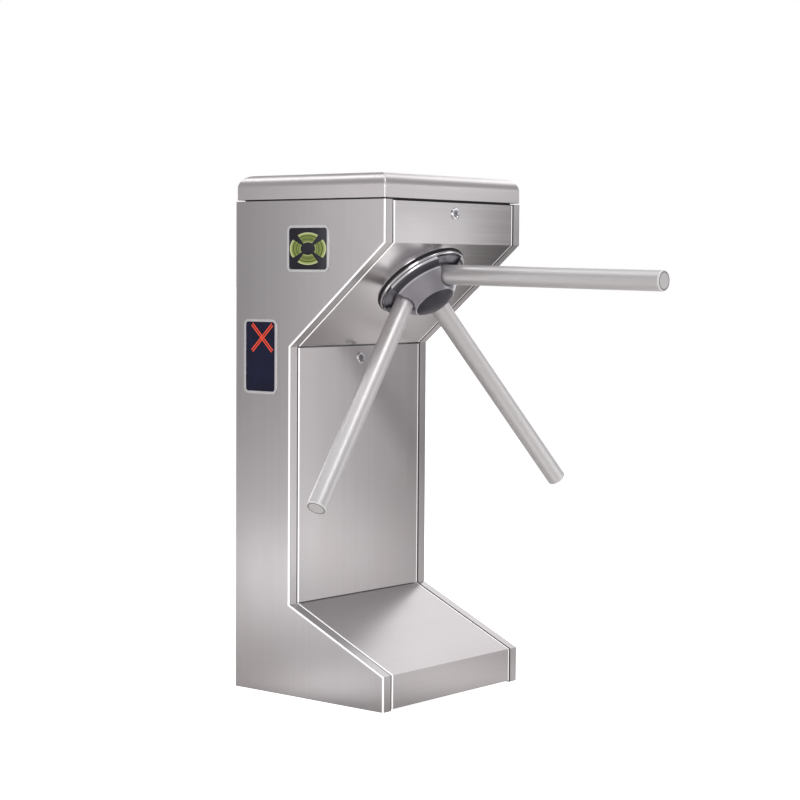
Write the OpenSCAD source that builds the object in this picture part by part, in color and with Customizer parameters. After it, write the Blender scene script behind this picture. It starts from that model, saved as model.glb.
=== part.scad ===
// Visitor counter turnstile: an upright tripod turnstile in folded stainless sheet.
// Frame: origin on the floor in the middle of the anchor holes, +Z up, the lane on the -Y side,
// +X to the right of a person who faces the fascia.

/* [Cabinet] */
// Height over the closed lid
total_h = 1000; // [990:1:1020]
// Width over the two side sheets
body_w = 414; // [400:1:430]
// Depth of the head, fascia to back
body_d = 378; // [370:1:390]
// Depth of the column, its front to the back
column_d = 142; // [138:1:150]
// Height of the upright nose of the foot
nose_h = 67; // [60:1:75]
// Height at which the foot's slope meets the column
foot_h = 176; // [170:1:185]
// How far the foot's nose stands in front of the fascia
nose_forward = 3; // [0:1:6]
// Height of the fascia's lower edge
fascia_low = 870; // [865:1:875]
// Height of the cabinet's open top
body_top = 950; // [948:1:950]
// Angle of the sloped underside of the head, from level
slope_angle = 40; // [39:0.5:41]
// Sheet thickness
sheet = 2; // [1.5:0.5:2]
// Width of the folded strip along each front edge
strip_w = 24; // [20:1:28]
// Depth of the folded lips
lip = 15; // [12:1:16]
// Gap between a cover and the strips
cover_gap = 1.5; // [1:0.5:2]

/* [Lid] */
// Radius of the lid's rounded top edges
lid_round = 25; // [15:1:30]
// Shadow gap between cabinet and lid
lid_gap = 2.5; // [2:0.5:4]

/* [Rotor] */
// Distance of the hub centre up the slope from the column's top edge
hub_up = 200; // [195:1:205]
// Depth behind the sloped sheet at which the three arm axes meet
apex_in = 16; // [14:1:18]
// Angle of each arm from the rotor axis
arm_angle = 49.15; // [48:0.05:51]
// Length from the meeting point to the end of an arm
arm_len = 563.5; // [500:0.5:600]
// Outside diameter of the arm tube
arm_d = 38; // [36:1:38]

/* [Windows] */
// Width of the reader window
reader_w = 96.5; // [90:0.5:100]
// Height of the reader window
reader_h = 78.5; // [70:0.5:85]
// Width of the status display window
display_w = 76.5; // [70:0.5:80]
// Height of the status display window
display_h = 134; // [120:1:140]

/* [Anchors] */
// Anchor hole spacing across
anchor_x = 300; // [280:5:300]
// Anchor hole spacing front to back
anchor_y = 280; // [260:5:280]
// Anchor hole diameter
anchor_d = 14; // [12:1:16]

/* [Hidden] */
$fn = 64;

half_w = body_w / 2;
back_y = body_d / 2;
head_y = -body_d / 2;
foot_y = head_y - nose_forward;
column_y = back_y - column_d;
overhang = column_y - head_y;
column_top = fascia_low - overhang * tan(slope_angle);
cover_half = half_w - strip_w - cover_gap;
lid_low = body_top + lid_gap;

// Front outline of the cabinet in (y, z), from the floor up to the open top
front_line = [
    [foot_y, 0], [foot_y, nose_h], [column_y, foot_h],
    [column_y, column_top], [head_y, fascia_low], [head_y, body_top]
];

// Hub centre on the sloped sheet
hub_y = column_y - hub_up * cos(slope_angle);
hub_z = column_top + hub_up * sin(slope_angle);

// Rotor stack, along the rotor axis from the sloped sheet, outwards positive
plate_z = -28;
plate_t = 8;
housing_back = -110;
bracket_t = 6;
gear_z = -126;
gear_t = 8;
disc_z = -136;
disc_t = 6;
encoder_z = -143;
encoder_t = 1.5;
shaft_r = 15;
shaft_tail_r = 12;
fit_gap = 0.05;

// Gear train: module, tooth counts and centre distance
gear_module = 2;
gear_teeth = 54;
pinion_teeth = 18;
gear_centres = gear_module * (gear_teeth + pinion_teeth) / 2;

// Lock disc and pawls
disc_r = 50;
notch_w = 12;
notch_depth = 7;
notches = 12;
pawl_pivot = [-56.6, -34];
pawl_arm = 28;
pawl_back_x = -66;
pawl_tip_x = -53;
plunger_z = -127;

steel = "silver";
dark_steel = [0.33, 0.32, 0.36];
near_black = [0.08, 0.08, 0.1];
zinc = [0.66, 0.68, 0.7];

function unit(v) = v / norm(v);
function right_of(v) = [v.y, -v.x];
function polar(r, a) = [r * cos(a), r * sin(a)];
function arc(c, r, a0, a1, steps = 8) = [
    for (i = [0 : steps]) c + polar(r, a0 + (a1 - a0) * i / steps)
];
function reversed(p) = [for (i = [len(p) - 1 : -1 : 0]) p[i]];

// The polyline p moved d to its right, mitred at its corners
function inset_line(p, d) = [
    for (i = [0 : len(p) - 1])
        let (
            a = right_of(unit(i > 0 ? p[i] - p[i - 1] : p[1] - p[0])),
            b = right_of(unit(i < len(p) - 1 ? p[i + 1] - p[i] : p[i] - p[i - 1]))
        )
        p[i] + d * (a + b) / (1 + a * b)
];
function band(p, d0, d1) = concat(inset_line(p, d0), reversed(inset_line(p, d1)));

// Rectangle outline with round corners, centred on c
function round_rect(w, h, r, c = [0, 0]) = concat(
    arc(c + [w / 2 - r, h / 2 - r], r, 0, 90, 6), arc(c + [r - w / 2, h / 2 - r], r, 90, 180, 6),
    arc(c + [r - w / 2, r - h / 2], r, 180, 270, 6), arc(c + [w / 2 - r, r - h / 2], r, 270, 360, 6)
);

// Involute gear outline, 20 degree pressure angle
tooth_slack = 0.12;
function involute(a) = tan(a) * 180 / PI - a;
function half_tooth(z, m, rho) =
    90 / z - tooth_slack / (z * m / 2) * 180 / PI + involute(20)
    - involute(acos(min(1, z * m * cos(20) / 2 / rho)));
function gear_outline(z, m, steps = 4) = let (
    root = z * m / 2 - 1.25 * m,
    tip = z * m / 2 + m,
    base = z * m * cos(20) / 2,
    rho = [for (k = [0 : steps]) root + (tip - root) * k / steps]
) [
    for (i = [0 : z - 1]) let (mid = 360 * i / z) each concat(
        [for (k = [0 : steps]) polar(rho[k], mid - half_tooth(z, m, max(rho[k], base)))],
        [for (k = [steps : -1 : 0]) polar(rho[k], mid + half_tooth(z, m, max(rho[k], base)))]
    )
];

// Extrudes a (y, z) outline from x0 to x1
module along_x(x0, x1) {
    translate([x0, 0, 0]) rotate([90, 0, 90]) linear_extrude(x1 - x0) children();
}

// Extrudes an (x, z) outline from y0 back to y1
module along_y(y0, y1) {
    translate([0, y1, 0]) rotate([90, 0, 0]) linear_extrude(y1 - y0) children();
}

// Box between two corners
module span(a, b) {
    translate(a) cube(b - a);
}

// Rotor frame: origin at the hub centre, +Z out of the sloped sheet, +Y up the slope
module rotor_frame() {
    translate([0, hub_y, hub_z]) rotate([180 - slope_angle, 0, 0]) children();
}

// Arm frame k: +Z along the arm from the meeting point, +Y towards the sloped sheet
module arm_frame(k) {
    rotor_frame() rotate(120 * k) translate([0, 0, -apex_in]) rotate([-arm_angle, 0, 0]) children();
}

// Cylinder between two heights
module disc(r, z0, z1) {
    translate([0, 0, z0]) cylinder(r = r, h = z1 - z0);
}

module ring(r0, r1, z0, z1) {
    difference() {
        disc(r1, z0, z1);
        disc(r0, z0 - 1, z1 + 1);
    }
}

module both_sides() {
    children();
    mirror([1, 0, 0]) children();
}

// ---------------------------------------------------------------- cabinet

reader_centre = [0.5, 859];
display_centre = [123.5, 651.5];
window_r = 6;
bezel_w = 5;
rail_w = 45;
rail_low = -115;
rail_high = 80;

module side_panel() {
    difference() {
        union() {
            along_x(half_w - sheet, half_w)
                polygon(concat(front_line, [[back_y, body_top], [back_y, 0]]));
            along_x(half_w - strip_w, half_w) polygon(band(front_line, 0, sheet));
            along_x(half_w - strip_w, half_w - strip_w + sheet) polygon(band(front_line, 0, lip));
            rotor_frame() {
                span([half_w - sheet - rail_w, rail_low, -20], [half_w - sheet / 2, rail_high, -17]);
                span([half_w - sheet - 3, rail_low, -40], [half_w - sheet / 2, rail_high, -17]);
            }
        }
        along_x(half_w - 10, half_w + 1) polygon(round_rect(reader_w, reader_h, window_r, reader_centre));
        along_x(half_w - 10, half_w + 1) polygon(round_rect(display_w, display_h, window_r, display_centre));
        rotor_frame() for (y = mechanism_screw_y) translate([mechanism_screw_x, y, 0]) disc(3.2, -21, -16);
    }
}

module side_panel_left() {
    color(steel) mirror([1, 0, 0]) side_panel();
}

module side_panel_right() {
    color(steel) side_panel();
}

hinge_x = 120;
hinge_len = 60;
hinge_axis = [back_y + 4, lid_low - 1];
hinge_leaf = 26;
hinge_screw_x = 20;

module back_panel() {
    color(steel) difference() {
        union() {
            span([sheet - half_w, back_y - sheet, 8], [half_w - sheet, back_y, body_top - 4]);
            both_sides() span([half_w - 2 * sheet, back_y - lip, 8], [half_w - sheet, back_y, body_top - 6]);
        }
        for (s = [-1, 1], t = [-1, 1])
            translate([s * hinge_x + t * hinge_screw_x, back_y, hinge_axis[1] - 16])
                rotate([90, 0, 0]) disc(2.5, -5, 5);
    }
}

plate_front = head_y + lip;
cable_y = 95;
cable_r = 20;

module base_plate() {
    color(zinc) difference() {
        union() {
            span([sheet - half_w, plate_front, 0], [half_w - sheet, back_y - sheet, 6]);
            both_sides() span([half_w - sheet - 4, plate_front + 10, 0], [half_w - sheet, back_y - lip - 5, 40]);
        }
        for (x = [-1, 1], y = [-1, 1])
            translate([x * anchor_x / 2, y * anchor_y / 2, 0]) disc(anchor_d / 2, -1, 7);
        translate([0, cable_y, 0]) disc(cable_r + 0.2, -1, 7);
    }
}

sill_d = 26;
peg_x = 120;
peg_r = 3;
peg_y = column_y + 8;

module base_cover() {
    outline = [[foot_y, 3], [foot_y, nose_h], [column_y, foot_h], [column_y + sill_d, foot_h]];
    flanks = [[foot_y, 3], [foot_y, nose_h], [column_y - 2, foot_h - 0.9]];
    color(steel) difference() {
        union() {
            along_x(-cover_half, cover_half) polygon(band(outline, 0, sheet));
            both_sides() along_x(cover_half - sheet, cover_half) polygon(band(flanks, 0, lip));
        }
        for (s = [-1, 1]) translate([s * peg_x, peg_y, 0]) disc(peg_r + 2.6, foot_h - 5, foot_h + 5);
    }
}

lock_z = 927.5;
panel_lock_z = 645.5;
lock_r = 9.5;
barrel_r = 6.5;
lid_cam_back = -41;
lid_cam_reach = 18;
panel_cam_back = -25;
panel_cam_reach = 21;
cam_t = 3;
tail_r = 4;
bore_hole_r = 52;

module head_cover() {
    low = [column_y - 1.2 * cos(slope_angle), column_top + 1.2 * sin(slope_angle)];
    outline = [low, [head_y, fascia_low], [head_y, body_top - 2]];
    turned_in = low + (lip - 3) * [sin(slope_angle), cos(slope_angle)];
    color(steel) difference() {
        union() {
            along_x(-cover_half, cover_half) polygon(band(concat([turned_in], outline), 0, sheet));
            both_sides() along_x(cover_half - sheet, cover_half) polygon(band(outline, 0, lip));
        }
        rotor_frame() disc(bore_hole_r, -5, 5);
        translate([0, head_y, lock_z]) rotate([90, 0, 0]) disc(lock_r + 0.2, -5, 5);
    }
}

rail_front = column_y + 18;
rail_d = 15;

module cross_rail() {
    color(zinc) {
        span([sheet - half_w, rail_front, column_top - 14], [half_w - sheet, rail_front + 2, column_top + 6]);
        span([sheet - half_w, rail_front, column_top + 4], [half_w - sheet, rail_front + rail_d, column_top + 6]);
    }
}

frame_in = 12;
frame_w = 15;

module rim(outer_w, y0, y1, width, z0, z1) {
    difference() {
        span([-outer_w, y0, z0], [outer_w, y1, z1]);
        span([width - outer_w, y0 + width, z0 - 1], [outer_w - width, y1 - width, z1 + 1]);
    }
}

module top_frame() {
    color(zinc) difference() {
        union() {
            rim(half_w - sheet, head_y + lip, back_y - sheet, frame_w, body_top - 4, body_top - 2);
            both_sides() span([half_w - 10, head_y + lip, body_top - 14], [half_w - sheet, back_y - lip - 1, body_top - 2]);
        }
        both_sides() span([half_w - 2 * sheet - 0.5, back_y - lip - 0.5, body_top - 15], [half_w, back_y, body_top - 5.5]);
    }
}

module lid_gasket() {
    color(near_black) rim(half_w - frame_in, head_y + lip + 1, back_y - frame_in, 5, body_top - 2, lid_low);
}

module cable_gland() {
    color("dimgray") translate([0, cable_y, 0]) difference() {
        union() {
            disc(cable_r, 0.5, 26);
            translate([0, 0, 6]) cylinder(r = 28, h = 9, $fn = 6);
            disc(23, 26, 34);
        }
        disc(13, -1, 40);
    }
}

// ---------------------------------------------------------------- lid and its hinges

lid_half = half_w - 0.5;
lid_front = head_y + 0.5;
lid_back = back_y - 0.5;
lid_lip = 24;
keeper_x = 12;
keeper_w = 12;
keeper_front = head_y - lid_cam_back + 2;
keeper_reach = 7;

// Upright outline with its top corners rounded: a to b wide, z0 to z1 high
function arch(a, b, z0, z1, r) = concat(
    [[b, z0]], arc([b - r, z1 - r], r, 0, 90), arc([a + r, z1 - r], r, 90, 180), [[a, z0]]
);

module pan(t) {
    intersection() {
        along_y(lid_front + t, lid_back - t)
            polygon(arch(t - lid_half, lid_half - t, lid_low - (t > 0 ? 5 : 0), total_h - t, lid_round - t));
        along_x(-lid_half - 1, lid_half + 1)
            polygon(arch(lid_front + t, lid_back - t, lid_low - (t > 0 ? 5 : 0), total_h - t, lid_round - t));
    }
}

module lid() {
    color(steel) difference() {
        union() {
            difference() {
                pan(0);
                pan(sheet);
            }
            rim(lid_half - 1, lid_front + 1, lid_back - 1, lid_lip, lid_low, lid_low + sheet);
            span([keeper_x, keeper_front, lock_z - 9], [keeper_x + keeper_w, keeper_front + 2, lid_low + 1]);
            span([keeper_x, keeper_front - keeper_reach, lock_z - 9], [keeper_x + keeper_w, keeper_front + 1, lock_z - 7]);
            span([keeper_x, lid_front + lid_lip - 1, lid_low], [keeper_x + keeper_w, keeper_front + 2, lid_low + sheet]);
        }
        for (s = [-1, 1], t = [-1, 1])
            translate([s * hinge_x + t * hinge_screw_x, back_y, hinge_axis[1] + 14])
                rotate([90, 0, 0]) disc(2.5, -5, 5);
    }
}

knuckle_r = 4;
pin_r = 2;

// One hinge leaf: up = 1 for the lid's, -1 for the cabinet's; knuckles from the list of spans
module hinge_leaf(up, knuckles) {
    z0 = hinge_axis[1];
    for (s = [-1, 1]) translate([s * hinge_x, 0, 0]) difference() {
        union() {
            span([-hinge_len / 2, up > 0 ? lid_back : back_y + 0.05, up > 0 ? z0 + knuckle_r + 0.6 : z0 - hinge_leaf],
                 [hinge_len / 2, back_y + 2, up > 0 ? z0 + hinge_leaf : z0 - knuckle_r - 0.6]);
            for (k = knuckles) {
                along_x(k[0], k[1]) translate(hinge_axis) circle(r = knuckle_r);
                span([k[0], back_y + 0.05, up > 0 ? z0 : z0 - knuckle_r - 1],
                     [k[1], back_y + 2, up > 0 ? z0 + knuckle_r + 1 : z0]);
            }
        }
        along_x(-40, 40) translate(hinge_axis) circle(r = pin_r + fit_gap);
        for (t = [-1, 1]) translate([t * hinge_screw_x, back_y, z0 + (up > 0 ? 14 : -16)])
            rotate([90, 0, 0]) disc(2.5, -5, 5);
    }
}

module lid_hinge_upper() {
    color(zinc) hinge_leaf(1, [[-9.7, 9.7]]);
}

module lid_hinge_lower() {
    color(zinc) hinge_leaf(-1, [[-30, -10], [10, 30]]);
}

module lid_hinge_pins() {
    color("gray") for (s = [-1, 1]) along_x(s * hinge_x - 31, s * hinge_x + 31)
        translate(hinge_axis) circle(r = pin_r);
}

// ---------------------------------------------------------------- cam locks

// Lock frame: origin on the outer face, +Z out towards the lane, +Y up
module lock_frame(y, z) {
    translate([0, y, z]) rotate([90, 0, 0]) children();
}

module lock_body() {
    color("gainsboro") difference() {
        union() {
            rotate_extrude() polygon([[8, 0.05], [11.5, 0.05], [11.5, 1.2], [10.6, 2.4], [8, 2.6]]);
            disc(lock_r, -19, 0.05);
            translate([0, 0, -9]) cylinder(r = 13, h = 6, $fn = 6);
            disc(8.5, 0, 1);
        }
        disc(barrel_r + fit_gap, -25, 5);
    }
}

module lock_barrel(back) {
    color("gainsboro") difference() {
        union() {
            disc(barrel_r, -21, 1.8);
            disc(tail_r, back - 3, -21);
        }
        span([-0.7, -3, -1], [0.7, 3, 3]);
        translate([0, 1.6, 0]) disc(1.6, -1, 3);
    }
}

// Cam blade with its back face at the height back, turned to point clear of its keeper
module lock_cam(turn, reach, back) {
    color(zinc) rotate(turn) translate([0, 0, back]) linear_extrude(cam_t) difference() {
        union() {
            circle(r = 9);
            translate([0, -6]) square([reach, 12]);
            translate([reach, 0]) circle(r = 6);
        }
        circle(r = tail_r);
    }
}

module lid_lock_body() {
    lock_frame(head_y, lock_z) lock_body();
}

module lid_lock_barrel() {
    lock_frame(head_y, lock_z) lock_barrel(lid_cam_back);
}

module lid_lock_cam() {
    lock_frame(head_y, lock_z) lock_cam(90, lid_cam_reach, lid_cam_back);
}

module panel_lock_body() {
    lock_frame(column_y, panel_lock_z) lock_body();
}

module panel_lock_barrel() {
    lock_frame(column_y, panel_lock_z) lock_barrel(panel_cam_back);
}

module panel_lock_cam() {
    lock_frame(column_y, panel_lock_z) lock_cam(0, panel_cam_reach, panel_cam_back);
}

// ---------------------------------------------------------------- column panel

panel_low = foot_h + 1.5;
panel_high = column_top - 2.5;

// Rolled bead inside the bottom edge, on which the panel tilts out
bead_r = 2;

module column_panel() {
    color(steel) difference() {
        union() {
            span([-cover_half, column_y, panel_low], [cover_half, column_y + sheet, panel_high]);
            both_sides() span([cover_half - sheet, column_y, panel_low + 1], [cover_half, column_y + lip, panel_high]);
            span([-cover_half, column_y, panel_low], [cover_half, column_y + lip, panel_low + sheet]);
            span([-cover_half, column_y, panel_high - sheet], [cover_half, column_y + lip, panel_high]);
            for (s = [-1, 1]) translate([s * peg_x, peg_y, 0]) disc(peg_r, panel_low - 9, panel_low + 1);
            along_x(-cover_half, cover_half) translate([column_y + bead_r, panel_low + bead_r]) circle(r = bead_r);
        }
        lock_frame(column_y, panel_lock_z) disc(lock_r + 0.2, -5, 5);
    }
}

// ---------------------------------------------------------------- reader and display, on both sides

glass_t = 4;
ring_axes = [46, 30.5];
ring_hole = [19, 12];
ring_half_angle = 34;
cross_centre = [118.5, 688];
cross_size = [58, 56];
cross_stroke = 3.4;
cross_pitch = 4.6;

module on_side(x0, x1) {
    both_sides() along_x(half_w + x0, half_w + x1) children();
}

module reader_windows() {
    color(near_black) on_side(-glass_t + 1, 0.6)
        polygon(round_rect(reader_w - 0.4, reader_h - 0.4, window_r - 0.2, reader_centre));
}

module bezel(w, h, c) {
    on_side(0.02, 1.4) difference() {
        polygon(round_rect(w + 2 * bezel_w, h + 2 * bezel_w, window_r + bezel_w, c));
        polygon(round_rect(w, h, window_r, c));
    }
}

module reader_bezels() {
    color("gainsboro") bezel(reader_w, reader_h, reader_centre);
}

// Four separate segments of an oval ring, in three bands each
module reader_segments() {
    color("yellowgreen") on_side(0.6, 1.0) for (q = [0 : 3], b = [0 : 2]) {
        u0 = b / 3 + (b > 0 ? 0.03 : 0);
        u1 = (b + 1) / 3 - (b < 2 ? 0.03 : 0);
        inner = ring_hole + (ring_axes - ring_hole) * u0;
        outer = ring_hole + (ring_axes - ring_hole) * u1;
        polygon(concat(
            [for (i = [0 : 8]) let (a = 90 * q - ring_half_angle + ring_half_angle * i / 4)
                reader_centre + [inner[0] * cos(a), inner[1] * sin(a)]],
            [for (i = [8 : -1 : 0]) let (a = 90 * q - ring_half_angle + ring_half_angle * i / 4)
                reader_centre + [outer[0] * cos(a), outer[1] * sin(a)]]
        ));
    }
}

// Tray behind a window: a plate with a raised rim that sits on the side sheet's inner face
module tray(w, h, c, plate) {
    on_side(-plate, -glass_t) polygon(round_rect(w + 2 * bezel_w, h + 2 * bezel_w, window_r, c));
    on_side(-glass_t, -sheet) difference() {
        polygon(round_rect(w + 2 * bezel_w, h + 2 * bezel_w, window_r, c));
        polygon(round_rect(w + 1, h + 1, window_r, c));
    }
}

module reader_modules() {
    color("dimgray") {
        tray(reader_w, reader_h, reader_centre, 6);
        on_side(-27, -6) translate(reader_centre - [44, 36]) square([88, 72]);
        on_side(-33, -27) translate(reader_centre - [12, 8]) square([24, 16]);
    }
}

module display_windows() {
    color([0.05, 0.06, 0.15]) on_side(-glass_t + 1, 0.6)
        polygon(round_rect(display_w - 0.4, display_h - 0.4, window_r - 0.2, display_centre));
}

module display_bezels() {
    color("gainsboro") bezel(display_w, display_h, display_centre);
}

// Each stroke of the cross is a pair of thin parallel bars
module display_crosses() {
    length = norm(cross_size);
    tilt = atan2(cross_size[1], cross_size[0]);
    color("red") on_side(0.6, 1.0) translate(cross_centre) union() {
        for (a = [tilt, -tilt], d = [-1, 1])
            rotate(a) translate([cross_stroke - length / 2, d * cross_pitch / 2 - (cross_stroke - 1) / 2])
                square([length - 2 * cross_stroke, cross_stroke - 1]);
    }
}

module display_boards() {
    color("darkgreen") {
        tray(display_w, display_h, display_centre, 6);
        on_side(-16, -6) translate(display_centre - [30, 50]) square([60, 40]);
        on_side(-12, -6) translate(display_centre - [20, -20]) square([40, 24]);
    }
}

// ---------------------------------------------------------------- hub and arms

flange_r = 94;
ring_out_r = 92.5;
rim_r = 89.5;
rim_low = 9;
cone_r = 81;
cone_low = 15.5;
cap_r = 40;
cowl_top = 54.5;
cowl_top_r = 42.2;
cowl_t = 3;
core_r = 64;
notch_r = 22;
arm_r = arm_d / 2;
arm_wall = 2;
arm_root = 50;
plug_end = 100;
end_cap_t = 3.5;
bolt_at = 64;
bolt_r = 4;

module hub_gasket() {
    color(near_black) rotor_frame() ring(60, flange_r, 0.02, 3);
}

module hub_trim_ring() {
    color("white") rotor_frame() rotate_extrude($fn = 128) polygon(concat(
        [[70, 3], [ring_out_r, 3]], arc([ring_out_r - 4, 4.3], 4, 0, 90, 8), [[70, 8.3]]
    ));
}

// Cross cylinder through arm k in its seat, d either way
module arm_cross(k, r, d) {
    arm_frame(k) translate([0, 0, bolt_at]) rotate([0, 90, 0]) disc(r, -d, d);
}

module hub_core() {
    color(dark_steel) difference() {
        rotor_frame() {
            rotate_extrude($fn = 96) polygon([
                [shaft_r + 2.55, rim_low], [core_r, rim_low], [core_r, 26], [36, 50],
                [22, 50], [22, 40], [10.1, 40], [10.1, 34], [shaft_r + 2.55, 34]
            ]);
        }
        for (k = [0 : 2]) arm_frame(k) disc(arm_r + fit_gap, arm_root - 0.05, 140);
        for (k = [0 : 2]) arm_cross(k, bolt_r + 0.1, 40);
    }
}

// Half-width of an arm notch in the cowl at height y towards the sloped sheet
function notch_half(y) = notch_r + 15 * pow(y / 34, 2);

module cowl_notch(k) {
    arm_frame(k) translate([0, 0, 44]) linear_extrude(80) {
        circle(r = notch_r);
        polygon(concat(
            [for (y = [0 : 6 : 48]) [notch_half(y), y]],
            [for (y = [48 : -6 : 0]) [-notch_half(y), y]]
        ));
    }
}

module hub_cowl() {
    outer = concat(
        [for (a = [0 : 15 : 90]) [cone_r + (rim_r - cone_r) * cos(a), rim_low + (cone_low - rim_low) * sin(a)]],
        [[cowl_top_r, cowl_top], [cap_r + 0.1, cowl_top], [cap_r + 0.1, cowl_top - 2.5], [cap_r - 3, cowl_top - 2.5],
         [cap_r - 3, cowl_top - 4]]
    );
    inner = [[cone_r - 2, cone_low - cowl_t], [rim_r - cowl_t, rim_low]];
    color(dark_steel) difference() {
        rotor_frame() rotate_extrude($fn = 128) polygon(concat(outer, inner));
        for (k = [0 : 2]) cowl_notch(k);
    }
}

cap_rise = 12;

module hub_cap() {
    dome = (cap_r * cap_r + cap_rise * cap_rise) / (2 * cap_rise);
    top = cowl_top + cap_rise;
    sweep = asin(cap_r / dome);
    color([0.25, 0.23, 0.29]) rotor_frame() rotate_extrude($fn = 96) polygon(concat(
        [for (i = [0 : 10]) [dome * sin(sweep * i / 10), top - dome + dome * cos(sweep * i / 10)]],
        [[cap_r, cowl_top - 2.4], [cap_r - 2.5, cowl_top - 2.4]],
        [for (i = [9 : -1 : 0]) [(dome - 2.5) * sin(sweep * i / 10), top - dome + (dome - 2.5) * cos(sweep * i / 10)]]
    ));
}

module arm(k) {
    color("whitesmoke") difference() {
        arm_frame(k) difference() {
            disc(arm_r, arm_root, arm_len - end_cap_t);
            disc(arm_r - arm_wall, plug_end, arm_len);
        }
        arm_cross(k, bolt_r + 0.1, 40);
    }
}

module arm_end_caps() {
    color("lightgray") for (k = [0 : 2]) arm_frame(k) {
        translate([0, 0, arm_len - end_cap_t]) rotate_extrude($fn = 64) polygon([
            [0, 0], [arm_r - 0.3, 0], [arm_r - 0.1, 0.6], [arm_r - 0.1, 1.8], [arm_r - 0.7, 2.9],
            [arm_r - 1.8, end_cap_t], [0, end_cap_t]
        ]);
        ring(arm_r - arm_wall - 3, arm_r - arm_wall - 0.05, arm_len - end_cap_t - 22, arm_len - end_cap_t);
    }
}

// Headless cross bolts that hold the arms in the core, under the cowl
module arm_bolts() {
    color("gray") difference() {
        for (k = [0 : 2]) arm_cross(k, bolt_r, 24);
        for (k = [0 : 2], s = [-1, 1]) arm_frame(k) translate([s * 24, 0, bolt_at]) rotate([0, 90, 0])
            cylinder(r = 2.3, h = 8, center = true, $fn = 6);
    }
}

// ---------------------------------------------------------------- rotor mechanism

mechanism_screw_x = 181;
mechanism_screw_y = [-95, -5, 68];
housing_r = 38;
housing_flange_r = 60;
bearing_r = 31;
bearing_w = 16;
front_bearing = -24;
rear_bearing = housing_back;
housing_bolt_r = 50;
foot_x = 118;
foot_bolts_y = [-80, 40];

module mechanism_plate() {
    color(zinc) rotor_frame() difference() {
        span([-200, rail_low + 5, plate_z], [200, rail_high - 5, plate_z + plate_t]);
        disc(housing_r + 0.1, plate_z - 1, 0);
        for (s = [-1, 1], y = mechanism_screw_y) translate([s * mechanism_screw_x, y, 0]) disc(3.2, -40, 0);
        for (a = [45 : 90 : 315]) rotate(a) translate([housing_bolt_r, 0, 0]) disc(4.1, -40, 0);
        for (s = [-1, 1], y = foot_bolts_y) translate([s * foot_x, y, 0]) disc(3.1, -40, 0);
    }
}

module bearing_housing() {
    color("slategray") rotor_frame() difference() {
        union() {
            disc(housing_r, housing_back, -6);
            disc(housing_flange_r, plate_z - 8, plate_z);
        }
        disc(bearing_r - 4, housing_back - 1, 0);
        disc(bearing_r + fit_gap, front_bearing, 0);
        disc(bearing_r + fit_gap, housing_back - 1, rear_bearing + bearing_w);
        for (a = [45 : 90 : 315]) rotate(a) translate([housing_bolt_r, 0, 0]) disc(4.1, -40, 0);
    }
}

// Outer ring with its two shields, and inner ring, of one bearing from z0
module bearing_outer(z0) {
    ring(bearing_r - 4, bearing_r, z0, z0 + bearing_w);
    for (z = [z0 + 0.6, z0 + bearing_w - 2.1]) ring(shaft_r + 4 + fit_gap, bearing_r - 3.5, z, z + 1.5);
}

module bearing_outer_rings() {
    color("silver") rotor_frame() {
        bearing_outer(front_bearing);
        bearing_outer(rear_bearing);
    }
}

module bearing_inner_rings() {
    color("silver") rotor_frame() for (z = [front_bearing, rear_bearing])
        ring(shaft_r + 0.01, shaft_r + 4, z, z + bearing_w);
}

module main_shaft() {
    color("gray") rotor_frame() {
        disc(shaft_r, housing_back - 1, front_bearing + bearing_w);
        disc(shaft_r + 4, front_bearing + bearing_w, -4);
        disc(shaft_r + 7, -4, rim_low);
        disc(shaft_r + 2.5, rim_low, 34);
        disc(10, 34, 52);
        disc(shaft_r + 3, housing_back - 6, housing_back);
        disc(shaft_tail_r, -152, housing_back - 5);
    }
}

module shaft_nuts() {
    color("gold") rotor_frame() {
        difference() {
            translate([0, 0, 40]) cylinder(r = 17, h = 9, $fn = 6);
            disc(10.01, 30, 60);
        }
        difference() {
            translate([0, 0, -151]) cylinder(r = 19, h = 7, $fn = 6);
            disc(shaft_tail_r + 0.01, -160, -140);
        }
    }
}

module drive_gear() {
    color("darkgray") rotor_frame() difference() {
        union() {
            translate([0, 0, gear_z]) linear_extrude(gear_t) polygon(gear_outline(gear_teeth, gear_module));
            disc(20, gear_z - 4, gear_z + gear_t + 2);
        }
        disc(shaft_tail_r + 0.01, -160, -100);
        for (a = [0 : 60 : 300]) rotate(a) translate([34, 0, 0]) disc(9, -160, -100);
    }
}

module motor_pinion() {
    color("darkgray") rotor_frame() translate([0, -gear_centres, 0]) {
        rotate(180 / pinion_teeth) translate([0, 0, gear_z - 1])
            linear_extrude(gear_t + 2) polygon(gear_outline(pinion_teeth, gear_module));
        disc(5, gear_z - 3, -93);
    }
}

motor_r = 30;
motor_front = housing_back + bracket_t;

module drive_motor() {
    color("dimgray") rotor_frame() translate([0, -gear_centres, 0]) difference() {
        union() {
            disc(motor_r, motor_front, -78);
            disc(motor_r - 2, -78, -46);
            disc(11, housing_back - 1, motor_front);
            span([-8, -motor_r - 6, -74], [8, -motor_r + 4, -54]);
        }
        disc(5 + fit_gap, housing_back - 5, -92);
    }
}

module mechanism_bracket() {
    color(zinc) rotor_frame() difference() {
        union() {
            span([-112, -106, housing_back], [112, 70, motor_front]);
            both_sides() span([106, -106, housing_back + 1], [112, 70, plate_z - 4]);
            both_sides() span([106, -106, plate_z - 4], [130, 70, plate_z]);
        }
        both_sides() span([100, -60, -90], [115, 25, -45]);
        disc(housing_r + 0.1, -120, -90);
        translate([0, -gear_centres, 0]) disc(11.1, -120, -90);
        for (s = [-1, 1], y = foot_bolts_y) translate([s * foot_x, y, 0]) disc(3.1, -40, 0);
    }
}

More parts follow.
